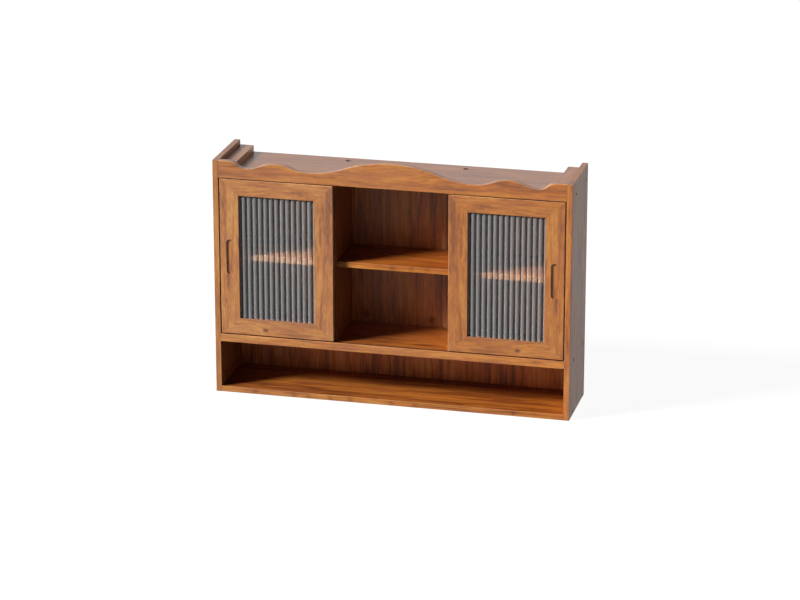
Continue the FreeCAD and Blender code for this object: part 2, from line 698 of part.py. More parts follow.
def frame_dowel_start(end):
    """Where a corner dowel begins, half of it on each side of the mitre."""
    middle = "stile / 2" if end == "left" else "door_width - stile / 2"
    return "(%s - frame_dowel_length / 2)" % middle


def frame_piece(side, name, member):
    """One mitred member of a door frame, rebated at the back for the glass and drilled for its dowels."""
    corners, along, ends, levels = frame_members()[member]
    body = new_body("%s_door_%s" % (side, name))
    sketch = new_sketch(body, "Y")
    draw_polygon(sketch, corners)
    pad(body, sketch, "Y", "door_thickness")
    ease_front(body, along, "door_arris")
    trench(body, "Y", "(stile - rebate)", "(door_rail - rebate)", "(door_width - 2 * (stile - rebate))",
           "(%s - 2 * (door_rail - rebate))" % DOOR_HEIGHT, "lip", "door_thickness - lip")
    centres = [(DOOR_MIDDLE, level) for level in levels]
    for end in ends:
        bore(body, "X", centres, "frame_dowel_diameter + 2 * fit",
             frame_dowel_start(end) + " - fit", "frame_dowel_length + 2 * fit")
    put_in_door(body, side)
    return body


def finger_slot(stile_body, centre):
    """Round-ended recess for the fingers, halfway up a stile."""
    sketch = new_sketch(stile_body, "Y")
    radius = size_of("slot_width") / 2
    straight = size_of("slot_length") / 2 - radius
    normal = Vector(0, 0, 1)
    upper = Part.ArcOfCircle(Part.Circle(Vector(0, straight, 0), normal, radius), 0, math.pi)
    lower = Part.ArcOfCircle(Part.Circle(Vector(0, -straight, 0), normal, radius), math.pi, 2 * math.pi)
    top = sketch.addGeometry(upper)
    bottom = sketch.addGeometry(lower)
    left = sketch.addGeometry(Part.LineSegment(Vector(-radius, straight, 0), Vector(-radius, -straight, 0)))
    right = sketch.addGeometry(Part.LineSegment(Vector(radius, -straight, 0), Vector(radius, straight, 0)))
    sketch.addConstraint(Sketcher.Constraint("Tangent", top, 2, left, 1))
    sketch.addConstraint(Sketcher.Constraint("Tangent", left, 2, bottom, 1))
    sketch.addConstraint(Sketcher.Constraint("Tangent", bottom, 2, right, 1))
    sketch.addConstraint(Sketcher.Constraint("Tangent", right, 2, top, 1))
    sketch.addConstraint(Sketcher.Constraint("Equal", top, bottom))
    half_run = "(slot_length - slot_width) / 2"
    fix_point(sketch, top, 3, centre, "%s / 2 + %s" % (DOOR_HEIGHT, half_run), Vector(0, straight, 0))
    fix_point(sketch, bottom, 3, centre, "%s / 2 - %s" % (DOOR_HEIGHT, half_run), Vector(0, -straight, 0))
    fix_length(sketch, "Radius", "slot_width / 2", top, radius)
    pocket(stile_body, sketch, "Y", "slot_depth")


def glass(side):
    """Fluted pane: a plate with a row of rounded ribs on its front."""
    body = new_body(side + "_door_glass")
    plate = new_sketch(body, "Z", PANE_LOW)
    draw_rectangle(plate, PANE_LEFT, PLATE_FRONT, PANE_WIDTH, "glass_plate")
    pad(body, plate, "Z", PANE_HEIGHT)
    rib = new_sketch(body, "Z", PANE_LOW)
    pane_left = size_of("stile") - size_of("rebate") + size_of("glass_play")
    pitch = (size_of("door_width") - 2 * pane_left) / size_of("glass_ribs")
    chord = pitch - size_of("rib_land")
    height = size_of("rib_height")
    radius = (chord * chord / 4 + height * height) / (2 * height)
    foot = size_of("lip") + size_of("glass_seat") + height
    start = Vector(pane_left + size_of("rib_land") / 2, foot, 0)
    end = start + Vector(chord, 0, 0)
    centre = (start + end) * 0.5 + Vector(0, radius - height, 0)
    curve, forward = arc_through(centre, radius, start, end)
    arc = rib.addGeometry(curve)
    base = rib.addGeometry(Part.LineSegment(start, end))
    arc_start, arc_end = (1, 2) if forward else (2, 1)
    rib.addConstraint(Sketcher.Constraint("Coincident", arc, arc_start, base, 1))
    rib.addConstraint(Sketcher.Constraint("Coincident", arc, arc_end, base, 2))
    fix_point(rib, base, 1, PANE_LEFT + " + rib_land / 2", PLATE_FRONT, start)
    fix_point(rib, base, 2, PANE_LEFT + " + " + RIB_PITCH + " - rib_land / 2", PLATE_FRONT, end)
    half_chord = "((%s - rib_land) / 2)" % RIB_PITCH
    rib_radius = "(%s * %s + rib_height * rib_height) / (2 * rib_height)" % (half_chord, half_chord)
    fix_length(rib, "Radius", rib_radius, arc, radius)
    first_rib = pad(body, rib, "Z", PANE_HEIGHT)
    doc.recompute()
    row = body.newObject("PartDesign::LinearPattern", "ribs")
    row.Originals = [first_rib]
    axis = [feature for feature in body.Origin.OriginFeatures if feature.Role == "X_Axis"][0]
    row.Direction = (axis, [""])
    tie(row, "Length", "%s * (glass_ribs - 1)" % RIB_PITCH)
    tie(row, "Occurrences", "glass_ribs")
    body.Tip = row
    put_in_door(body, side)
    return body


def glazing_beads(side):
    """Four strips that hold the pane in its rebate from behind."""
    body = new_body(side + "_door_beads")
    sketch = new_sketch(body, "Y", PLATE_BACK)
    left = "(stile - rebate)"
    low = "(door_rail - rebate)"
    width = "(door_width - 2 * %s)" % left
    height = "(%s - 2 * %s)" % (DOOR_HEIGHT, low)
    between = "(%s - 2 * (rebate + bead_play))" % width
    draw_rectangle(sketch, left, low, "rebate", height)
    draw_rectangle(sketch, "door_width - stile", low, "rebate", height)
    draw_rectangle(sketch, left + " + rebate + bead_play", low, between, "rebate")
    draw_rectangle(sketch, left + " + rebate + bead_play", "%s - door_rail" % DOOR_HEIGHT, between, "rebate")
    pad(body, sketch, "Y", "door_thickness - " + PLATE_BACK)
    put_in_door(body, side)
    return body


def frame_dowels(side):
    """Dowels across the four mitres of a door frame."""
    body = new_body(side + "_door_dowels")
    levels = ["(door_rail / 2)", "(%s - door_rail / 2)" % DOOR_HEIGHT]
    for end in ("left", "right"):
        sketch = new_sketch(body, "X", frame_dowel_start(end))
        draw_facets(sketch, [(DOOR_MIDDLE, level) for level in levels], "frame_dowel_diameter", HIDDEN_SIDES)
        pad(body, sketch, "X", "frame_dowel_length")
    put_in_door(body, side)
    return body


def housing_cut(body):
    """Mortises in a bottom rail for the two roller housings."""
    sketch = new_sketch(body, "Z")
    for column in ROLLER_COLUMNS:
        draw_rectangle(sketch, column + " - housing_length / 2", DOOR_MIDDLE + " - housing_width / 2",
                       "housing_length", "housing_width")
    pocket(body, sketch, "Z", "housing_height")


def roller_housings(side):
    """Two blocks let into the bottom rail, slotted for their rollers and notched for the axles."""
    body = new_body(side + "_door_roller_housings")
    block = new_sketch(body, "Z")
    slot = "(roller_width + 2 * axle_play + roller_gap)"
    for column in ROLLER_COLUMNS:
        draw_rectangle(block, column + " - housing_length / 2", DOOR_MIDDLE + " - housing_width / 2",
                       "housing_length", "housing_width")
    pad(body, block, "Z", "housing_height")
    slots = new_sketch(body, "Z")
    for column in ROLLER_COLUMNS:
        draw_rectangle(slots, column + " - roller_radius - roller_gap", "%s - %s / 2" % (DOOR_MIDDLE, slot),
                       "(2 * (roller_radius + roller_gap))", slot)
    pocket(body, slots, "Z", AXLE_LEVEL + " + roller_radius + roller_gap")
    notches = new_sketch(body, "Z")
    notch = "(axle_diameter + 2 * axle_play)"
    for column in ROLLER_COLUMNS:
        draw_rectangle(notches, "%s - %s / 2" % (column, notch), DOOR_MIDDLE + " - housing_width / 2",
                       notch, "housing_width")
    pocket(body, notches, "Z", AXLE_LEVEL + " + axle_diameter / 2 + axle_play")
    put_in_door(body, side)
    return body


def roller_axles(side):
    """Steel pins through the two housings."""
    body = new_body(side + "_door_roller_axles")
    sketch = new_sketch(body, "Y", DOOR_MIDDLE + " - housing_width / 2")
    draw_circles(sketch, [(column, AXLE_LEVEL) for column in ROLLER_COLUMNS], "axle_diameter")
    pad(body, sketch, "Y", "housing_width")
    put_in_door(body, side)
    return body


def guide_bushes(side):
    """Two bushes in the top rail, each with a lip that keeps its pin in."""
    body = new_body(side + "_door_guide_bushes")
    centres = [(column, DOOR_MIDDLE) for column in GUIDE_COLUMNS]
    sketch = new_sketch(body, "Z", BUSH_LOW)
    draw_facets(sketch, centres, "bush_diameter", HIDDEN_SIDES)
    pad(body, sketch, "Z", "bush_length")
    bore(body, "Z", centres, "bush_bore", BUSH_LOW + " + bush_floor", "bush_length - bush_floor - bush_lip")
    bore(body, "Z", centres, "pin_diameter + 2 * pin_play", DOOR_HEIGHT + " - bush_lip", "bush_lip")
    put_in_door(body, side)
    return body


def roller(side, position, column):
    """Plain nylon wheel that runs on the bottom track."""
    body = new_body("%s_door_%s_roller" % (side, position))
    sketch = new_sketch(body, "Z")
    bore_radius = "(axle_diameter / 2 + axle_play)"
    rim = "(roller_radius - %s)" % bore_radius
    draw_rectangle(sketch, bore_radius, "-roller_width / 2", rim, "roller_width")
    feature = body.newObject("PartDesign::Revolution", "wheel")
    feature.Profile = sketch
    feature.ReferenceAxis = (sketch, ["V_Axis"])
    feature.Angle = 360
    put_in_door(body, side, column, DOOR_MIDDLE, AXLE_LEVEL)
    return body


def guide_pin(side, position, column):
    """Sprung pin that keeps the door's head in the top track."""
    body = stepped("%s_door_%s_guide_pin" % (side, position), [
        ("shoulder_diameter", SHOULDER_TOP + " - shoulder_height", SHOULDER_TOP),
        ("pin_diameter", SHOULDER_TOP, DOOR_HEIGHT + " + door_high_gap + pin_reach"),
    ])
    put_in_door(body, side, column, DOOR_MIDDLE)
    return body


def guide_spring(side, position, column):
    """Spring between a bush's floor and its pin's shoulder, as a plain sleeve."""
    low = BUSH_LOW + " + bush_floor + fit"
    high = SHOULDER_TOP + " - shoulder_height - fit"
    body = stepped("%s_door_%s_guide_spring" % (side, position), [("spring_diameter", low, high)])
    bore(body, "Z", [("0", "0")], "spring_diameter - 2 * spring_wire", low, "%s - (%s)" % (high, low))
    put_in_door(body, side, column, DOOR_MIDDLE)
    return body


def door(side):
    """One sliding door with its glass, rollers and guides; its finger slot is in the outer stile."""
    other = "right" if side == "left" else "left"
    outer_stile = frame_piece(side, "outer_stile", side)
    finger_slot(outer_stile, "stile / 2" if side == "left" else "door_width - stile / 2")
    inner_stile = frame_piece(side, "inner_stile", other)
    top_rail = frame_piece(side, "top_rail", "top")
    bore(top_rail, "Z", [(column, DOOR_MIDDLE) for column in GUIDE_COLUMNS], "bush_diameter",
         BUSH_LOW, "bush_length")
    bottom_rail = frame_piece(side, "bottom_rail", "bottom")
    housing_cut(bottom_rail)
    pieces = [outer_stile, inner_stile, top_rail, bottom_rail]
    pieces += [glass(side), glazing_beads(side), frame_dowels(side)]
    pieces += [roller_housings(side), roller_axles(side), guide_bushes(side)]
    positions = ["outer", "inner"] if side == "left" else ["inner", "outer"]
    for position, roller_column, guide_column in zip(positions, ROLLER_COLUMNS, GUIDE_COLUMNS):
        pieces.append(roller(side, position, roller_column))
        pieces.append(guide_pin(side, position, guide_column))
        pieces.append(guide_spring(side, position, guide_column))
    return pieces


def cabinet():
    """All the pieces that don't move."""
    pieces = [side_panel("left"), side_panel("right"), top_panel(), middle_panel(), bottom_panel()]
    pieces += [divider("left"), divider("right")]
    left_inside = "(%s + board)" % DIVIDER["left"]
    right_inside = "(%s + board)" % DIVIDER["right"]
    pieces.append(shelf("centre_shelf", left_inside, DIVIDER["right"], "centre_recess"))
    pieces.append(shelf("left_shelf", "board", DIVIDER["left"], "side_recess"))
    pieces.append(shelf("right_shelf", right_inside, "(width - board)", "side_recess"))
    pieces += [back_panel(), hanging_rail(), top_batten("left"), top_batten("right"), crest_rail()]
    low_web = "(middle_level - bottom_track_depth)"
    high_web = "(%s + top_track_depth)" % CREST_LOW
    pieces.append(track("bottom_track", "bottom_track_width", low_web, "middle_level"))
    pieces.append(track("top_track", "top_track_width", high_web, CREST_LOW))
    return pieces + fasteners()


def check(pieces):
    """Stops if any feature failed, any cut removed nothing or any piece isn't sound."""
    for thing in doc.Objects:
        if "Invalid" in thing.State or "Error" in thing.State:
            raise RuntimeError("failed: " + thing.FullName)
        if thing.TypeId == "PartDesign::Pocket":
            removed = thing.BaseFeature.Shape.Volume - thing.Shape.Volume
            if removed < 0.01:
                raise RuntimeError("cuts nothing: " + thing.FullName)
    for piece in pieces:
        if piece.Shape.isNull() or not piece.Shape.isValid() or not piece.Shape.Solids:
            raise RuntimeError("unsound: " + piece.Label)


pieces = cabinet() + door("left") + door("right")
doc.recompute()
check(pieces)
os.makedirs("parts", exist_ok=True)
for piece in pieces:
    piece.Shape.exportStep("parts/%s.step" % piece.Label)
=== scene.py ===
# Looks of the sliding door wall cabinet: walnut laminate, fluted glass, hardware, light and camera.
# Metres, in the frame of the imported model: X to the right, Y to the wall, Z up.
import math
from collections import namedtuple

import bmesh
import bpy
from mathutils import Euler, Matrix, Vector


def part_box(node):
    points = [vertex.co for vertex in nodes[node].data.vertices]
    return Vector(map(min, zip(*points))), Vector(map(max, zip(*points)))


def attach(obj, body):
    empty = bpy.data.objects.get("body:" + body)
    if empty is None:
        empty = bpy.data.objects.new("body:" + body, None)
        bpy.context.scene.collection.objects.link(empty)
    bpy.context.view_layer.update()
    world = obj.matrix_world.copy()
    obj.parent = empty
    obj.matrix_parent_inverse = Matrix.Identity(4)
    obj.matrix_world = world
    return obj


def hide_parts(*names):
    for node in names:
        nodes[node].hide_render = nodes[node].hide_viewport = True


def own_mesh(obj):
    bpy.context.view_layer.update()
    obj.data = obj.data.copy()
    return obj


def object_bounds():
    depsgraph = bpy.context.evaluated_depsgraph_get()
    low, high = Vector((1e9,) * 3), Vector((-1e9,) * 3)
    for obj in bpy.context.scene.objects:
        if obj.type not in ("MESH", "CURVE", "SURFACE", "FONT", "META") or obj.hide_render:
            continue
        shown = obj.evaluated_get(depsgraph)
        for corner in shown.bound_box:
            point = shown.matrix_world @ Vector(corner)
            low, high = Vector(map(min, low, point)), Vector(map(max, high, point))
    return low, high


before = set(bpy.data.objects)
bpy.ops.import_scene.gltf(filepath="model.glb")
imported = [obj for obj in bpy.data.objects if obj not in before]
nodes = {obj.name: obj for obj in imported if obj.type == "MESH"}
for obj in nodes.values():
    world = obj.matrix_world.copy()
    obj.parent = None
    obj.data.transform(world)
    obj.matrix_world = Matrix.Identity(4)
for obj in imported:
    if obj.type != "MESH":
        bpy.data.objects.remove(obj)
cad_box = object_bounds()
scene = bpy.context.scene

# Camera, fitted to the photograph's corners: angles in degrees, lens and sensor in millimetres.
CAMERA_PLACE = (2.0260, -8.2530, 3.1364)
CAMERA_YAW = 13.79
CAMERA_PITCH = 18.63
LENS = 146.3
SENSOR_WIDTH = 36.0

# Lamps: degrees to the left of the front and up, width of the soft edge in degrees, and strength.
KEY_LEFT = 59.0
KEY_UP = 31.0
KEY_SPREAD = 15.0
KEY_STRENGTH = 6.2
REAR_LEFT = -173.0
REAR_UP = 6.0
REAR_SPREAD = 20.0
REAR_STRENGTH = 1.8

# Surroundings: the fill light, and the glow, colour and half width of the floor.
WORLD_FILL = 0.015
FLOOR_GLOW = 0.94
FLOOR_GREY = (0.10, 0.10, 0.10, 1)
FLOOR_REACH = 30.0

# Laminate colours, from the lightest streaks to the darkest, then spots, knots, painted shade in the
# bores and a painted highlight on eased edges.
HONEY = (0.60, 0.235, 0.050)
ORANGE = (0.50, 0.165, 0.030)
WALNUT = (0.40, 0.125, 0.028)
UMBER = (0.24, 0.078, 0.022)
BLUSH = (0.44, 0.142, 0.040)
KNOT = (0.140, 0.034, 0.010)
PAINTED_BORE_SHADE = (0.020, 0.012, 0.010)
PAINTED_HIGHLIGHT = (0.62, 0.34, 0.16)
FIGURE_STOPS = [(0.28, UMBER), (0.42, WALNUT), (0.52, ORANGE), (0.72, HONEY)]

# Parts of the laminate's figure: length along the grain and width across it.
DRIFT = (0.22, 0.09)
PATCHES = (0.15, 0.042)
CLOUDS = (0.040, 0.010)
STREAKS = (0.20, 0.013)
SPOTS = (0.09, 0.030)
LINES = (0.11, 0.0050)
FIBRES = (0.030, 0.0012)
FLECKS = (0.018, 0.0040)
KNOT_CELLS = (0.30, 0.105)

# How far the grain wanders, and how much each part of the figure counts.
GRAIN_SWAY = 0.045
PATCH_WEIGHT = 0.70
CLOUD_WEIGHT = 0.35
SPOT_RANGE = (0.50, 0.70)
SPOT_SHARE = 0.65
LINE_RANGE = (0.30, 0.50)
LINE_DEPTH = 0.36
FIBRE_SHADES = (0.90, 1.08)
FLECK_SHADES = (0.86, 1.12)
CELLS_WITHOUT_KNOT = 0.80
KNOT_RADII = (0.03, 0.15)
KNOT_SHARE = 0.8

# Surface of the laminate: roughness in its lines and beside them, relief, refraction, the gloss of
# upper faces, and the painted highlight of eased edges.
LAMINATE_ROUGHNESS = (0.48, 0.38)
LAMINATE_RELIEF = 0.00012
LAMINATE_BUMP = 0.5
FIBRE_HEIGHT = 0.5
LAMINATE_BEND = 1.6
UP_GLOSS = 0.12
HIGHLIGHT_SQUARENESS = (0.72, 0.86)
HIGHLIGHT_SHARE = 0.3

# Placed marks: ripples of the edge to the metre, their depth, and where a mark starts and stops to fade.
MARK_RIPPLES = 160.0
MARK_RAGGED = 0.7
MARK_CORE = 0.6
MARK_RIM = 1.5

# Hardware: spots of its mottling to the metre, its darkest shade, uneven roughness, and its relief.
STEEL_MOTTLES = 420.0
STEEL_DARKEST = 0.72
STEEL_DULLER = 0.08
STEEL_BRIGHTER = 0.06
STEEL_BUMP = 0.4
PLASTIC_GRAINS = 1500.0
PLASTIC_CLOUDS = 60.0
PLASTIC_DARKEST = 0.82
PLASTIC_UNEVEN = 0.07
PLASTIC_BUMP = 0.5
FINE_RELIEF = 0.00005

# Fluted panes: the ribs, the flat strips between them, the steps of a rib's arc, the plate behind the
# ribs, and the degrees from which an edge is sharp.
RIBS = 15
RIB_PITCH = 0.0155
RIB_LAND = 0.0032
RIB_STEPS = 14
GLASS_PLATE = 0.0035
SHARP_ANGLE = 25

# Glass: refraction, clouds to the metre along each axis, and uneven roughness.
GLASS_BEND = 1.27
GLASS_CLOUDS = (40.0, 40.0, 6.0)
GLASS_UNEVEN = 0.03

# Guide springs: wire thickness, turns, and the steps of a turn and of the wire's round.
SPRING_WIRE = 0.0008
SPRING_TURNS = 7
TURN_STEPS = 16
WIRE_STEPS = 8

# The middle of a noise, and the range that most of it lies in.
NOISE_MIDDLE = 0.5
NOISE_LOW = 0.3
NOISE_HIGH = 0.7


def link(tree, source, target):
    tree.links.new(source, target)


def feed(tree, socket, value):
    """Links a socket to another one, or sets its value."""
    if isinstance(value, bpy.types.NodeSocket):
        link(tree, value, socket)
    else:
        socket.default_value = value


def calc(tree, operation, first, second=0.5, third=0.5):
    node = tree.nodes.new("ShaderNodeMath")
    node.operation = operation
    for socket, value in zip(node.inputs, (first, second, third)):
        feed(tree, socket, value)
    return node.outputs[0]


def move(tree, operation, first, second=(0, 0, 0)):
    node = tree.nodes.new("ShaderNodeVectorMath")
    node.operation = operation
    feed(tree, node.inputs[0], first)
    feed(tree, node.inputs[1], second)
    gives_number = operation in ("LENGTH", "DOT_PRODUCT")
    return node.outputs["Value"] if gives_number else node.outputs["Vector"]


def split(tree, vector):
    node = tree.nodes.new("ShaderNodeSeparateXYZ")
    link(tree, vector, node.inputs[0])
    return node.outputs


def join(tree, x, y, z):
    node = tree.nodes.new("ShaderNodeCombineXYZ")
    for socket, value in zip(node.inputs, (x, y, z)):
        feed(tree, socket, value)
    return node.outputs[0]


def stretched(tree, place, size):
    """Scales a place so that one unit has this length along the grain and this width across it."""
    along, across = size
    return move(tree, "MULTIPLY", place, (1 / along, 1 / across, 1 / across))


def noise(tree, vector, scale=1.0, detail=2.0, rough=0.5):
    node = tree.nodes.new("ShaderNodeTexNoise")
    link(tree, vector, node.inputs["Vector"])
    node.inputs["Scale"].default_value = scale
    node.inputs["Detail"].default_value = detail
    node.inputs["Roughness"].default_value = rough
    return node.outputs["Fac"]


def centred(tree, value):
    """A noise that lies as much below zero as above it."""
    return calc(tree, "SUBTRACT", value, NOISE_MIDDLE)


def spread(tree, value, low, high, to_low=0.0, to_high=1.0, smooth=True):
    """Maps a range of values onto another, smoothly unless told otherwise."""
    node = tree.nodes.new("ShaderNodeMapRange")
    node.interpolation_type = "SMOOTHSTEP" if smooth else "LINEAR"
    feed(tree, node.inputs["Value"], value)
    node.inputs["From Min"].default_value = low
    node.inputs["From Max"].default_value = high
    node.inputs["To Min"].default_value = to_low
    node.inputs["To Max"].default_value = to_high
    return node.outputs[0]


def noise_range(tree, value, to_low, to_high, smooth=True):
    """Maps a noise onto a range."""
    return spread(tree, value, NOISE_LOW, NOISE_HIGH, to_low, to_high, smooth)


def ramp(tree, value, stops):
    """Colour ramp; stops are pairs of place and linear colour."""
    node = tree.nodes.new("ShaderNodeValToRGB")
    feed(tree, node.inputs[0], value)
    elements = node.color_ramp.elements
    while len(elements) < len(stops):
        elements.new(0.5)
    for element, (place, colour) in zip(elements, stops):
        element.position = place
        element.color = (*colour, 1)
    return node.outputs[0]


def mix(tree, share, first, second, blend="MIX"):
    node = tree.nodes.new("ShaderNodeMix")
    node.data_type = "RGBA"
    node.blend_type = blend
    feed(tree, node.inputs["Factor"], share)
    for name, value in (("A", first), ("B", second)):
        socket = [s for s in node.inputs if s.name == name and s.type == "RGBA"][0]
        feed(tree, socket, (*value, 1) if isinstance(value, tuple) else value)
    return [s for s in node.outputs if s.type == "RGBA"][0]


def new_material(name):
    """A material with one principled shader; returns the material, its tree and the shader."""
    material = bpy.data.materials.new(name)
    material.use_nodes = True
    tree = material.node_tree
    shader = [node for node in tree.nodes if node.type == "BSDF_PRINCIPLED"][0]
    return material, tree, shader


def object_place(tree):
    return tree.nodes.new("ShaderNodeTexCoord").outputs["Object"]


def bump(tree, shader, height, distance, strength):
    node = tree.nodes.new("ShaderNodeBump")
    node.inputs["Strength"].default_value = strength
    node.inputs["Distance"].default_value = distance
    link(tree, height, node.inputs["Height"])
    link(tree, node.outputs[0], shader.inputs["Normal"])


def wood_group():
    """Printed walnut figure. The place is in metres, its X along the grain."""
    group = bpy.data.node_groups.new("walnut_figure", "ShaderNodeTree")
    sockets = (
        ("Place", "INPUT", "NodeSocketVector"),
        ("Contrast", "INPUT", "NodeSocketFloat"),
        ("Streaks", "INPUT", "NodeSocketFloat"),
        ("Figure", "OUTPUT", "NodeSocketColor"),
        ("Roughness", "OUTPUT", "NodeSocketFloat"),
        ("Height", "OUTPUT", "NodeSocketFloat"),
    )
    for name, way, kind in sockets:
        group.interface.new_socket(name, in_out=way, socket_type=kind)
    start = group.nodes.new("NodeGroupInput")
    end = group.nodes.new("NodeGroupOutput")
    place = start.outputs["Place"]
    contrast = start.outputs["Contrast"]
    streaked = start.outputs["Streaks"]

    # The grain wanders: slow sideways shifts along each board.
    drift = noise(group, stretched(group, place, DRIFT))
    sway = calc(group, "MULTIPLY", centred(group, drift), GRAIN_SWAY)
    place = move(group, "ADD", place, join(group, 0.0, sway, sway))

    # Broad patches, smaller clouds and long streaks set the tone.
    patches = noise(group, stretched(group, place, PATCHES), detail=3.0, rough=0.6)
    clouds = noise(group, stretched(group, place, CLOUDS), detail=3.0, rough=0.6)
    streaks = noise(group, stretched(group, place, STREAKS), detail=4.0, rough=0.65)
    tone = calc(group, "MULTIPLY", centred(group, patches), PATCH_WEIGHT)
    tone = calc(group, "MULTIPLY_ADD", centred(group, clouds), CLOUD_WEIGHT, tone)
    tone = calc(group, "MULTIPLY_ADD", centred(group, streaks), streaked, tone)
    tone = calc(group, "MULTIPLY_ADD", tone, contrast, NOISE_MIDDLE)
    figure = ramp(group, tone, FIGURE_STOPS)

    # Reddish spots, thin dark lines, fine fibres and short flecks lie over it.
    spots = noise(group, stretched(group, place, SPOTS))
    figure = mix(group, spread(group, spots, *SPOT_RANGE, 0.0, SPOT_SHARE), figure, BLUSH)
    lines = noise(group, stretched(group, place, LINES), detail=4.0, rough=0.65)
    fibres = noise(group, stretched(group, place, FIBRES), rough=0.6)
    flecks = noise(group, stretched(group, place, FLECKS), rough=0.6)
    line_depth = calc(group, "MULTIPLY", spread(group, lines, *LINE_RANGE, LINE_DEPTH, 0.0), streaked)
    line_shade = calc(group, "SUBTRACT", 1.0, line_depth)
    fibre_shade = noise_range(group, fibres, *FIBRE_SHADES, smooth=False)
    fleck_shade = noise_range(group, flecks, *FLECK_SHADES, smooth=False)
    shade = calc(group, "MULTIPLY", calc(group, "MULTIPLY", line_shade, fibre_shade), fleck_shade)
    shaded = mix(group, 1.0, figure, join(group, shade, shade, shade), "MULTIPLY")

    # Scattered small knots.
    cells = group.nodes.new("ShaderNodeTexVoronoi")
    cells.inputs["Scale"].default_value = 1.0
    link(group, stretched(group, place, KNOT_CELLS), cells.inputs["Vector"])
    chosen = calc(group, "GREATER_THAN", split(group, cells.outputs["Color"])[0], CELLS_WITHOUT_KNOT)
    spot = spread(group, cells.outputs["Distance"], *KNOT_RADII, KNOT_SHARE, 0.0)
    knotted = mix(group, calc(group, "MULTIPLY", spot, chosen), shaded, KNOT)

    link(group, knotted, end.inputs["Figure"])
    link(group, noise_range(group, lines, *LAMINATE_ROUGHNESS), end.inputs["Roughness"])
    link(group, calc(group, "MULTIPLY_ADD", fibres, FIBRE_HEIGHT, lines), end.inputs["Height"])
    return group


WOOD = wood_group()

# Order of the axes that puts the grain first.
GRAIN_ORDER = {"x": (0, 1, 2), "y": (1, 0, 2), "z": (2, 0, 1)}

# Directions, and the cosines from which a face looks one way, closely or roughly, with a soft change.
UP = (0, 0, 1)
DOWN = (0, 0, -1)
LEFT = (-1, 0, 0)
RIGHT = (1, 0, 0)
FRONT = (0, -1, 0)
CLOSELY = 0.80
ROUGHLY = 0.50
SOFT_CHANGE = 0.15

# Tones multiply the colour of the figure. Faces that look up get a painted shade of their own.
PLAIN = (1.0, 1.0, 1.0)
UP_PAINTED_SHADE = (0.50, 0.47, 0.49)
FLOOR_PAINTED_SHADE = (0.72, 0.58, 0.41)

# A mark in the figure, or a painted shade in a bore: its middle, its half sizes, how strong it is and its
# colour.
Mark = namedtuple("Mark", "middle half share colour", defaults=[KNOT])

# A painted shade for faces that look in a direction, from the least cosine to it.
Facing = namedtuple("Facing", "direction tone least", defaults=[CLOSELY])

# A painted light that fades out along an axis, between two places, on all faces or on those that look one
# way.
Fade = namedtuple("Fade", "axis start end tone direction", defaults=[None])


def mark_mask(tree, place, mark):
    """Soft ellipsoid with a ragged edge."""
    ragged = calc(tree, "MULTIPLY", noise(tree, place, MARK_RIPPLES), MARK_RAGGED)
    away = move(tree, "DIVIDE", move(tree, "SUBTRACT", place, mark.middle), mark.half)
    reach = calc(tree, "ADD", move(tree, "LENGTH", away), ragged)
    return spread(tree, reach, MARK_CORE, MARK_RIM, mark.share, 0.0)


def looks_to(tree, normal, direction, least):
    """1 for faces that look in a direction, 0 for the others."""
    return spread(tree, move(tree, "DOT_PRODUCT", normal, direction), least, least + SOFT_CHANGE)


def faded(tree, axes, normal, tone, fade):
    """The tone of a board, which gives way to that of a painted light that fades."""
    place = axes["xyz".index(fade.axis)]
    strength = spread(tree, place, fade.start, fade.end, 1.0, 0.0, smooth=False)
    if fade.direction:
        strength = calc(tree, "MULTIPLY", strength, looks_to(tree, normal, fade.direction, ROUGHLY))
    return mix(tree, strength, tone, fade.tone)


def painted_edge_highlight(tree, normal, colour):
    """Eased edges are painted a little lighter: a painted highlight along the edges."""
    x, y, z = split(tree, move(tree, "ABSOLUTE", normal))
    squareness = calc(tree, "MAXIMUM", calc(tree, "MAXIMUM", x, y), z)
    return mix(tree, spread(tree, squareness, *HIGHLIGHT_SQUARENESS, HIGHLIGHT_SHARE, 0.0), colour, PAINTED_HIGHLIGHT)


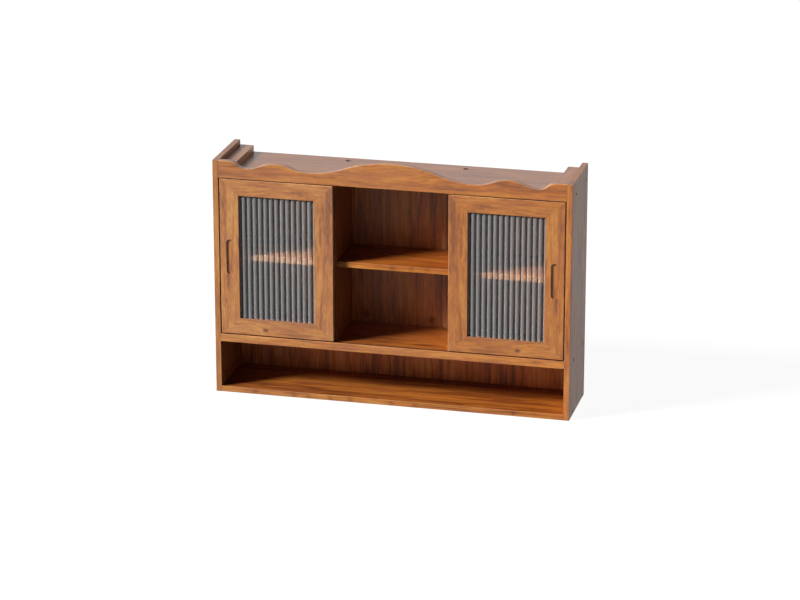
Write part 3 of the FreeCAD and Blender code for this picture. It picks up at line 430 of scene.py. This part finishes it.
def wood(name, grain, shift, tone=PLAIN, contrast=1.0, streaks=0.7, mirrored=False, marks=(), gloss=0.0,
         longer=1.0, specular=0.5, facings=(Facing(UP, UP_PAINTED_SHADE),), fade=None):
    """Laminate with its grain along an axis, shifted so that each board has a figure of its own.

    The figure may be stronger, more streaked, longer along the grain or mirrored about the middle.
    """
    material, tree, shader = new_material(name)
    axes = list(split(tree, object_place(tree)))
    if mirrored:
        axes[0] = calc(tree, "ABSOLUTE", axes[0])
    along = join(tree, *[axes[i] for i in GRAIN_ORDER[grain]])
    along = move(tree, "MULTIPLY", along, (1 / longer, 1.0, 1.0))
    figure = tree.nodes.new("ShaderNodeGroup")
    figure.node_tree = WOOD
    figure.inputs["Contrast"].default_value = contrast
    figure.inputs["Streaks"].default_value = streaks
    link(tree, move(tree, "ADD", along, shift), figure.inputs["Place"])

    normal = tree.nodes.new("ShaderNodeNewGeometry").outputs["True Normal"]
    if fade:
        tone = faded(tree, axes, normal, tone, fade)
    colour = mix(tree, 1.0, figure.outputs["Figure"], tone, "MULTIPLY")
    dulled = 0.0
    for mark in marks:
        mask = mark_mask(tree, join(tree, *axes), mark)
        colour = mix(tree, mask, colour, mark.colour)
        if mark.colour == PAINTED_BORE_SHADE:
            dulled = calc(tree, "ADD", mask, dulled)
    # Faces that look one way get a painted shade.
    for facing in facings:
        share = looks_to(tree, normal, facing.direction, facing.least)
        colour = mix(tree, share, colour, mix(tree, 1.0, colour, facing.tone, "MULTIPLY"))
    # Painted highlight: eased edges are lighter.
    link(tree, painted_edge_highlight(tree, normal, colour), shader.inputs["Base Color"])

    # Faces that look up are glossier, and the painted shade in the bores has no gloss.
    roughness = calc(tree, "SUBTRACT", figure.outputs["Roughness"], gloss)
    roughness = calc(tree, "MULTIPLY_ADD", looks_to(tree, normal, UP, CLOSELY), -UP_GLOSS, roughness)
    link(tree, calc(tree, "MAXIMUM", roughness, dulled), shader.inputs["Roughness"])
    shader.inputs["IOR"].default_value = LAMINATE_BEND
    shader.inputs["Specular IOR Level"].default_value = specular
    bump(tree, shader, figure.outputs["Height"], LAMINATE_RELIEF, LAMINATE_BUMP)
    return material


def metal(name, colour, roughness):
    """Plated steel with fine mottling."""
    material, tree, shader = new_material(name)
    mottle = noise(tree, object_place(tree), STEEL_MOTTLES, detail=3.0, rough=0.6)
    darker = tuple(STEEL_DARKEST * part for part in colour)
    uneven = noise_range(tree, mottle, roughness + STEEL_DULLER, roughness - STEEL_BRIGHTER)
    link(tree, mix(tree, mottle, darker, colour), shader.inputs["Base Color"])
    link(tree, uneven, shader.inputs["Roughness"])
    shader.inputs["Metallic"].default_value = 1.0
    bump(tree, shader, mottle, FINE_RELIEF, STEEL_BUMP)
    return material


def plastic(name, colour, roughness, specular=0.5):
    """Moulded plastic or a matt coating with a fine grain."""
    material, tree, shader = new_material(name)
    grain = noise(tree, object_place(tree), PLASTIC_GRAINS)
    cloud = noise(tree, object_place(tree), PLASTIC_CLOUDS)
    darker = tuple(PLASTIC_DARKEST * part for part in colour)
    uneven = noise_range(tree, grain, roughness + PLASTIC_UNEVEN, roughness - PLASTIC_UNEVEN)
    link(tree, mix(tree, cloud, darker, colour), shader.inputs["Base Color"])
    link(tree, uneven, shader.inputs["Roughness"])
    shader.inputs["Specular IOR Level"].default_value = specular
    bump(tree, shader, grain, FINE_RELIEF, PLASTIC_BUMP)
    return material


def glass(name, light, dark, clearness, roughness, shining_through):
    """Glass between two colours, milkier with less clearness. A share of the lamps shines through."""
    material, tree, shader = new_material(name)
    cloud = noise(tree, move(tree, "MULTIPLY", object_place(tree), GLASS_CLOUDS))
    link(tree, mix(tree, cloud, dark, light), shader.inputs["Base Color"])
    link(tree, noise_range(tree, cloud, roughness + GLASS_UNEVEN, roughness), shader.inputs["Roughness"])
    shader.inputs["Transmission Weight"].default_value = clearness
    shader.inputs["IOR"].default_value = GLASS_BEND

    lit = tree.nodes.new("ShaderNodeMixShader")
    clear = tree.nodes.new("ShaderNodeBsdfTransparent")
    clear.inputs["Color"].default_value = (shining_through, shining_through, shining_through, 1)
    path = tree.nodes.new("ShaderNodeLightPath")
    output = [node for node in tree.nodes if node.type == "OUTPUT_MATERIAL"][0]
    link(tree, path.outputs["Is Shadow Ray"], lit.inputs[0])
    link(tree, shader.outputs[0], lit.inputs[1])
    link(tree, clear.outputs[0], lit.inputs[2])
    link(tree, lit.outputs[0], output.inputs["Surface"])
    return material


def dress(node, material):
    """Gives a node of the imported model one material."""
    data = nodes[node].data
    data.materials.clear()
    data.materials.append(material)


def board(node, grain, shift, **finish):
    """Gives a node a laminate of its own, with a finish as the wood function takes it."""
    dress(node, wood(node + "_laminate", grain, shift, **finish))


# Planes that the marks lie on, and how deep the marks reach.
front_face = cad_box[0].y
back_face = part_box("back_panel")[0].y
shelf_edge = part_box("centre_shelf")[0].y
floor_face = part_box("bottom_panel")[1].z
top_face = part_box("top_panel")[1].z
EDGE_DEPTH = 0.004
FRONT_DEPTH = 0.02
BACK_DEPTH = 0.003
FLOOR_DEPTH = 0.006

# Shaded boards have a lower specular level.
INNER_SPECULAR = 0.15
LOWER_SPECULAR = 0.25

# Dividers, side shelves and hanging rail, each with its grain axis, shift of the figure, tone, contrast
# of the figure and strength of its streaks. The tones are painted light and shade: the side shelves are
# painted pale, a painted light of the sun through the panes, and the dividers are painted darker, a
# painted shade, the left one greyer. Their upper faces get a painted shade.
LEFT_DIVIDER_PAINTED_SHADE = (0.52, 0.56, 0.80)
RIGHT_DIVIDER_PAINTED_SHADE = (0.80, 0.86, 1.00)
LEFT_SHELF_PAINTED_LIGHT = (1.33, 1.90, 4.10)
RIGHT_SHELF_PAINTED_LIGHT = (1.22, 1.50, 2.85)
INNER_UP_PAINTED_SHADE = (0.92, 0.75, 0.62)
INNER_BOARDS = {
    "left_divider": ("z", (5.2, 0.5, 0.1), LEFT_DIVIDER_PAINTED_SHADE, 1.0, 0.6),
    "right_divider": ("z", (6.4, 0.9, 0.7), RIGHT_DIVIDER_PAINTED_SHADE, 1.0, 0.6),
    "left_shelf": ("x", (8.8, 0.7, 0.2), LEFT_SHELF_PAINTED_LIGHT, 0.8, 0.5),
    "right_shelf": ("x", (9.9, 1.1, 0.4), RIGHT_SHELF_PAINTED_LIGHT, 0.8, 0.5),
    "hanging_rail": ("x", (12.1, 0.4, 0.8), PLAIN, 1.0, 0.7),
}
for node, (grain, shift, tone, contrast, streaks) in INNER_BOARDS.items():
    board(node, grain, shift, tone=tone, contrast=contrast, streaks=streaks, longer=1.6,
          specular=INNER_SPECULAR, facings=[Facing(UP, INNER_UP_PAINTED_SHADE)])

# The long boards at the front are painted paler to the left, a painted sheen of the light from the left.
SHEEN_RIGHT_END = (1.00, 0.96, 0.84)
SHEEN_LEFT_FADE = Fade("x", cad_box[0].x, cad_box[1].x, (1.04, 1.20, 1.65))
edge_blotches = [
    Mark((0.410, front_face, 0.161), (0.024, EDGE_DEPTH, 0.004), 0.55),
    Mark((0.300, front_face, 0.158), (0.030, EDGE_DEPTH, 0.004), 0.30),
    Mark((-0.050, front_face, 0.162), (0.034, EDGE_DEPTH, 0.004), 0.30),
]
board("middle_panel", "x", (2.6, 0.2, 0.9), tone=SHEEN_RIGHT_END, contrast=1.2, streaks=1.0, longer=1.4,
      marks=edge_blotches, facings=[Facing(UP, FLOOR_PAINTED_SHADE)], fade=SHEEN_LEFT_FADE)
crest_patch = Mark((-0.348, front_face, 0.639), (0.045, FRONT_DEPTH, 0.008), 0.38)
board("crest_rail", "x", (15.5, 0.9, 0.1), tone=SHEEN_RIGHT_END, streaks=0.8, longer=1.6,
      marks=[crest_patch], fade=SHEEN_LEFT_FADE)
FLOOR_EDGE_BLOTCHES = (-0.3865, -0.2747, -0.2336, -0.1720, -0.1148, 0.0029, 0.0674)
floor_marks = [
    Mark((0.190, -0.094, floor_face), (0.018, 0.006, FLOOR_DEPTH), 0.85),
    Mark((0.345, front_face, 0.008), (0.010, EDGE_DEPTH, 0.008), 0.60),
    Mark((0.330, -0.078, floor_face), (0.180, 0.005, FLOOR_DEPTH), 0.60),
    Mark((-0.020, -0.070, floor_face), (0.200, 0.004, FLOOR_DEPTH), 0.55),
    Mark((0.250, -0.020, floor_face), (0.240, 0.008, FLOOR_DEPTH), 0.50),
    Mark((0.060, 0.060, floor_face), (0.300, 0.010, FLOOR_DEPTH), 0.45),
]
for x in FLOOR_EDGE_BLOTCHES:
    floor_marks.append(Mark((x, front_face, 0.006), (0.011, EDGE_DEPTH, 0.012), 0.40))
board("bottom_panel", "x", (4.1, 0.8, 1.3), tone=SHEEN_RIGHT_END, contrast=1.7, streaks=1.1, longer=2.2,
      marks=floor_marks, specular=LOWER_SPECULAR, facings=[Facing(UP, FLOOR_PAINTED_SHADE)], fade=SHEEN_LEFT_FADE)

# Side panels are duller than the fronts. Their outer faces are painted greyer, a painted shade and
# reflection, most on the right; the left panel's inner face has a painted shade, and the left panel is
# paler, a painted sheen like that of the left door.
SIDE_GLOSS = -0.10
LEFT_PANEL_PAINTED_SHEEN = (0.93, 1.12, 1.50)
LEFT_OUTER_PAINTED_SHADE = (0.67, 0.77, 1.20)
LEFT_INNER_PAINTED_SHADE = (0.62, 0.54, 0.38)
RIGHT_OUTER_PAINTED_SHADE = (0.63, 0.95, 3.00)
left_face_shades = [Facing(LEFT, LEFT_OUTER_PAINTED_SHADE), Facing(RIGHT, LEFT_INNER_PAINTED_SHADE), Facing(UP, UP_PAINTED_SHADE)]
board("left_side_panel", "z", (0.3, 0.1, 0.0), tone=LEFT_PANEL_PAINTED_SHEEN, gloss=SIDE_GLOSS, longer=1.4,
      facings=left_face_shades)
right_face_shades = [Facing(RIGHT, RIGHT_OUTER_PAINTED_SHADE), Facing(UP, UP_PAINTED_SHADE)]
board("right_side_panel", "z", (1.7, 0.6, 0.2), gloss=SIDE_GLOSS, longer=1.4, facings=right_face_shades)

# The top, with its battens and painted shade in the bores over the dividers.
# The top panel is painted a little cooler, a painted grey sheen.
TOP_PANEL_PAINTED_SHEEN = (0.95, 0.95, 1.02)
BORE_X = 0.1665
BORE_Y = (-0.0465, 0.0795)
BORE_SINK = 0.001
BORE_HALF = (0.011, 0.011, 0.006)
board("left_top_batten", "y", (13.0, 0.2, 0.5), longer=1.4)
board("right_top_batten", "y", (14.2, 0.6, 0.9), longer=1.4)
# Painted shade: dark marks in the bores and in a ring of the top face around them.
bore_shades = []
for x in (-BORE_X, BORE_X):
    for y in BORE_Y:
        bore_shades.append(Mark((x, y, top_face - BORE_SINK), BORE_HALF, 1.0, PAINTED_BORE_SHADE))
board("top_panel", "x", (0.9, 1.4, 0.5), tone=TOP_PANEL_PAINTED_SHEEN, contrast=0.9, longer=1.8, gloss=0.03,
      marks=bore_shades)

# The back panel is painted paler in the open bay under the middle panel, a painted light where light
# falls in from the front.
BACK_TONE = (1.12, 1.50, 3.00)
BACK_FOOT_PAINTED_LIGHT = (1.95, 2.55, 4.80)
middle_low, middle_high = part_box("middle_panel")
back_foot_light = Fade("z", middle_low.z, middle_high.z, BACK_FOOT_PAINTED_LIGHT, FRONT)
back_knots = [
    Mark((-0.1186, back_face, 0.193), (0.013, BACK_DEPTH, 0.018), 0.7),
    Mark((0.0707, back_face, 0.190), (0.012, BACK_DEPTH, 0.016), 0.7),
]
board("back_panel", "z", (3.4, 2.2, 0.3), tone=BACK_TONE, contrast=1.7, longer=2.6, marks=back_knots,
      specular=LOWER_SPECULAR, fade=back_foot_light)

shelf_blotches = [
    Mark((-0.0013, shelf_edge, 0.390), (0.012, EDGE_DEPTH, 0.02), 0.35),
    Mark((0.0523, shelf_edge, 0.390), (0.010, EDGE_DEPTH, 0.02), 0.35),
    Mark((0.0968, shelf_edge, 0.390), (0.012, EDGE_DEPTH, 0.02), 0.25),
]
board("centre_shelf", "x", (7.3, 0.3, 0.6), contrast=1.2, streaks=0.8, longer=1.8, marks=shelf_blotches,
      specular=INNER_SPECULAR, facings=[Facing(UP, FLOOR_PAINTED_SHADE)])

# The two doors are mirror images, figure included. The marks are given for the right one.
# The left door is painted paler and pinker than the right one, a painted sheen of the light from the
# left.
DOOR_PAINTED_SHEEN = {"left": (0.99, 1.17, 1.80), "right": (0.93, 0.95, 1.00)}
FRAME_GRAIN = {"outer_stile": "z", "inner_stile": "z", "top_rail": "x", "bottom_rail": "x"}
FRAME_SHIFT = {
    "outer_stile": (0.7, 3.1, 0.4),
    "inner_stile": (1.9, 4.3, 0.8),
    "top_rail": (3.2, 5.6, 0.1),
    "bottom_rail": (9.1, 2.7, 0.4),
}
FRAME_MARKS = {
    "outer_stile": [],
    "inner_stile": [
        Mark((0.176, front_face, 0.590), (0.005, FRONT_DEPTH, 0.030), 0.35),
        Mark((0.188, front_face, 0.540), (0.004, FRONT_DEPTH, 0.034), 0.35),
        Mark((0.196, front_face, 0.475), (0.005, FRONT_DEPTH, 0.044), 0.40),
        Mark((0.203, front_face, 0.395), (0.004, FRONT_DEPTH, 0.040), 0.30),
    ],
    "top_rail": [],
    "bottom_rail": [
        Mark((0.355, front_face, 0.190), (0.011, FRONT_DEPTH, 0.007), 0.95),
        Mark((0.438, front_face, 0.201), (0.011, FRONT_DEPTH, 0.004), 0.40),
    ],
}

# The faces of a door's frame that look to its pane are painted dark, a painted shade.
REVEAL_PAINTED_SHADE = (0.30, 0.24, 0.20)
INWARD = {
    "left": {"outer_stile": RIGHT, "inner_stile": LEFT, "top_rail": DOWN, "bottom_rail": UP},
    "right": {"outer_stile": LEFT, "inner_stile": RIGHT, "top_rail": DOWN, "bottom_rail": UP},
}
for side, tone in DOOR_PAINTED_SHEEN.items():
    for part, grain in FRAME_GRAIN.items():
        reveal_shade = Facing(INWARD[side][part], REVEAL_PAINTED_SHADE, ROUGHLY)
        board("%s_door_%s" % (side, part), grain, FRAME_SHIFT[part], tone=tone, contrast=1.2, streaks=0.8,
              mirrored=True, marks=FRAME_MARKS[part], facings=[reveal_shade])

# Beads, dowels, hardware and glass.
BEAD_TONE = (0.8, 0.75, 0.75)
BEECH_TONE = (1.3, 2.2, 4.0)
bead_laminate = wood("bead_laminate", "z", (2.2, 7.1, 0.3), tone=BEAD_TONE)
dowel_beech = wood("dowel_beech", "x", (6.0, 1.0, 2.0), tone=BEECH_TONE, contrast=0.4)
steel = metal("plated_steel", (0.56, 0.56, 0.58), 0.34)
black_steel = plastic("blackened_steel", (0.012, 0.010, 0.009), 0.80, specular=0.1)
nylon = plastic("brown_nylon", (0.13, 0.055, 0.026), 0.45)
track_plastic = plastic("brown_track", (0.12, 0.047, 0.021), 0.42)
ribbed_glass = glass("ribbed_glass", (0.590, 0.602, 0.602), (0.555, 0.575, 0.575),
                     clearness=0.70, roughness=0.06, shining_through=0.90)
# The flat strips between the ribs are dark, nearly opaque glass: a painted shade of the dark inside.
painted_shade_strip_glass = glass("painted_shade_strip_glass", (0.045, 0.045, 0.045), (0.036, 0.036, 0.036),
                    clearness=0.35, roughness=0.15, shining_through=1.0)
clear_glass = glass("clear_glass", (0.92, 0.95, 0.95), (0.88, 0.92, 0.92),
                    clearness=1.0, roughness=0.03, shining_through=1.0)
# The pane's cut edges are dark and matt: a painted shade.
painted_shade_edge_glass = plastic("painted_shade_edge_glass", (0.050, 0.056, 0.052), 0.8, specular=0.1)
DOOR_FITTINGS = {
    "beads": bead_laminate,
    "dowels": dowel_beech,
    "glass": ribbed_glass,
    "roller_housings": nylon,
    "roller_axles": steel,
    "outer_roller": nylon,
    "inner_roller": nylon,
    "guide_bushes": nylon,
    "outer_guide_pin": nylon,
    "inner_guide_pin": nylon,
    "outer_guide_spring": steel,
    "inner_guide_spring": steel,
}
for side in ("left", "right"):
    for part, material in DOOR_FITTINGS.items():
        dress("%s_door_%s" % (side, part), material)
CARCASS_FITTINGS = {
    "carcass_dowels": dowel_beech,
    "shelf_pins": steel,
    "side_screws": black_steel,
    "divider_screws": black_steel,
    "bottom_track": track_plastic,
    "top_track": track_plastic,
}
for node, material in CARCASS_FITTINGS.items():
    dress(node, material)


def add_object(name, data):
    made = bpy.data.objects.new(name, data)
    scene.collection.objects.link(made)
    return made


def add_mesh(name, shape, materials):
    """Makes an object of a closed shape, with its faces turned outward."""
    bmesh.ops.recalc_face_normals(shape, faces=shape.faces)
    mesh = bpy.data.meshes.new(name)
    shape.to_mesh(mesh)
    shape.free()
    for material in materials:
        mesh.materials.append(material)
    return add_object(name, mesh)


def pane_front(low, high):
    """Points across a pane's front: an arc for each rib, with flat strips between.

    The edges of the pane cut the outer ribs.
    """
    plate = high.y - GLASS_PLATE
    height = plate - low.y
    chord = RIB_PITCH - RIB_LAND
    radius = (chord * chord / 4 + height * height) / (2 * height)
    half = math.asin(chord / 2 / radius)
    points = []
    for rib in range(RIBS):
        middle = (low.x + high.x) / 2 + (rib - (RIBS - 1) / 2) * RIB_PITCH
        start = max(-half, math.asin((low.x - middle) / radius)) if rib == 0 else -half
        end = min(half, math.asin((high.x - middle) / radius)) if rib == RIBS - 1 else half
        for step in range(RIB_STEPS + 1):
            turn = start + (end - start) * step / RIB_STEPS
            x = middle + radius * math.sin(turn)
            y = plate - radius * (math.cos(turn) - math.cos(half))
            points.append((x, y))
    return points


# Glass of a pane's ribs, back, cut edges and strips, and the places of these in the list. The cut edges
# and the strips are dark glass, a painted shade.
PANE_GLASS = [ribbed_glass, clear_glass, painted_shade_edge_glass, painted_shade_strip_glass]
RIB, BACK, EDGE, STRIP = range(len(PANE_GLASS))


def fluted_pane(side):
    """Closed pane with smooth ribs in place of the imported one."""
    node = side + "_door_glass"
    low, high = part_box(node)
    shape = bmesh.new()
    columns = []
    for x, y in pane_front(low, high):
        corners = ((y, low.z), (y, high.z), (high.y, high.z), (high.y, low.z))
        columns.append([shape.verts.new((x, *corner)) for corner in corners])
    for strip, (near, far) in enumerate(zip(columns, columns[1:])):
        on_rib = strip % (RIB_STEPS + 1) < RIB_STEPS
        around = (RIB if on_rib else STRIP, EDGE, BACK, EDGE)
        for first, kind in enumerate(around):
            second = (first + 1) % len(around)
            face = shape.faces.new((near[first], near[second], far[second], far[first]))
            face.material_index = kind
    for column in (columns[0], columns[-1]):
        shape.faces.new(column).material_index = EDGE
    for face in shape.faces:
        face.smooth = True
    pane = add_mesh(side + "_fluted_pane", shape, PANE_GLASS)
    pane.data.set_sharp_from_angle(angle=math.radians(SHARP_ANGLE))
    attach(pane, side + "_door")
    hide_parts(node)


def coil_shape(low, high):
    """Wire wound about Z, as large as a box."""
    middle = (low + high) / 2
    radius = (high.x - low.x - SPRING_WIRE) / 2
    foot = low.z + SPRING_WIRE / 2
    rise = high.z - low.z - SPRING_WIRE
    steps = SPRING_TURNS * TURN_STEPS
    shape = bmesh.new()
    rings = []
    for step in range(steps + 1):
        turn = 2 * math.pi * step / TURN_STEPS
        outward = Vector((math.cos(turn), math.sin(turn), 0))
        centre = Vector((middle.x, middle.y, foot + rise * step / steps)) + radius * outward
        ring = []
        for wire_step in range(WIRE_STEPS):
            angle = 2 * math.pi * wire_step / WIRE_STEPS
            reach = math.cos(angle) * outward + Vector((0, 0, math.sin(angle)))
            ring.append(shape.verts.new(centre + SPRING_WIRE / 2 * reach))
        rings.append(ring)
    for near, far in zip(rings, rings[1:]):
        for first in range(WIRE_STEPS):
            second = (first + 1) % WIRE_STEPS
            shape.faces.new((near[first], near[second], far[second], far[first])).smooth = True
    for ring in (rings[0], rings[-1]):
        shape.faces.new(ring)
    return shape


def guide_coil(side, position):
    """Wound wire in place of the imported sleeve, which shortens as its guide pin is pressed."""
    node = "%s_door_%s_guide_spring" % (side, position)
    low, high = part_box(node)
    coil = add_mesh("%s_door_%s_guide_coil" % (side, position), coil_shape(low, high), [steel])
    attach(coil, side + "_door")
    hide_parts(node)
    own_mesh(coil)


for side in ("left", "right"):
    fluted_pane(side)
    for position in ("outer", "inner"):
        guide_coil(side, position)


def seen_or_mirrored(tree):
    """1 for rays from the camera, a mirror or glass, and 0 for light that falls on the object."""
    path = tree.nodes.new("ShaderNodeLightPath")
    seen = calc(tree, "MAXIMUM", path.outputs["Is Camera Ray"], path.outputs["Is Glossy Ray"])
    seen = calc(tree, "MAXIMUM", seen, path.outputs["Is Transmission Ray"])
    straight = calc(tree, "LESS_THAN", path.outputs["Diffuse Depth"], 0.5)
    return calc(tree, "MULTIPLY", seen, straight)


def stage_floor():
    """White floor that keeps a faint shadow."""
    mesh = bpy.data.meshes.new("floor")
    near = -FLOOR_REACH
    far = FLOOR_REACH
    corners = [(near, near, 0), (far, near, 0), (far, far, 0), (near, far, 0)]
    mesh.from_pydata(corners, [], [(0, 1, 2, 3)])
    floor = add_object("floor", mesh)
    material = bpy.data.materials.new("white_floor")
    material.use_nodes = True
    tree = material.node_tree
    tree.nodes.clear()
    output = tree.nodes.new("ShaderNodeOutputMaterial")
    matt = tree.nodes.new("ShaderNodeBsdfDiffuse")
    matt.inputs["Color"].default_value = FLOOR_GREY
    glow = tree.nodes.new("ShaderNodeEmission")
    both = tree.nodes.new("ShaderNodeAddShader")
    link(tree, calc(tree, "MULTIPLY", seen_or_mirrored(tree), FLOOR_GLOW), glow.inputs["Strength"])
    link(tree, matt.outputs[0], both.inputs[0])
    link(tree, glow.outputs[0], both.inputs[1])
    link(tree, both.outputs[0], output.inputs["Surface"])
    mesh.materials.append(material)


def light_world():
    """White surroundings: full white where they are seen or mirrored, less as fill light."""
    world = bpy.data.worlds.new("studio")
    scene.world = world
    world.use_nodes = True
    tree = world.node_tree
    background = [node for node in tree.nodes if node.type == "BACKGROUND"][0]
    background.inputs["Color"].default_value = (1, 1, 1, 1)
    strength = spread(tree, seen_or_mirrored(tree), 0.0, 1.0, WORLD_FILL, 1.0, smooth=False)
    link(tree, strength, background.inputs["Strength"])


def lamp(name, left, up, soft_edge, strength, mirrored=True):
    """Distant soft lamp at angles to the left of the front and up, mirrored in glossy faces or not."""
    data = bpy.data.lights.new(name, "SUN")
    data.angle = math.radians(soft_edge)
    data.energy = strength
    turn = math.radians(left)
    rise = math.radians(up)
    away = Vector((-math.sin(turn) * math.cos(rise), -math.cos(turn) * math.cos(rise), math.sin(rise)))
    made = add_object(name, data)
    made.rotation_euler = (-away).to_track_quat("-Z", "Y").to_euler()
    made.visible_glossy = mirrored


def set_camera():
    lens = bpy.data.cameras.new("camera")
    lens.lens = LENS
    lens.sensor_width = SENSOR_WIDTH
    camera = add_object("camera", lens)
    camera.location = CAMERA_PLACE
    camera.rotation_euler = Euler((math.radians(90 - CAMERA_PITCH), 0, math.radians(CAMERA_YAW)))
    scene.camera = camera


stage_floor()
light_world()
lamp("key", KEY_LEFT, KEY_UP, KEY_SPREAD, KEY_STRENGTH)
lamp("rear", REAR_LEFT, REAR_UP, REAR_SPREAD, REAR_STRENGTH, mirrored=False)
set_camera()
scene.view_settings.view_transform = "Standard"
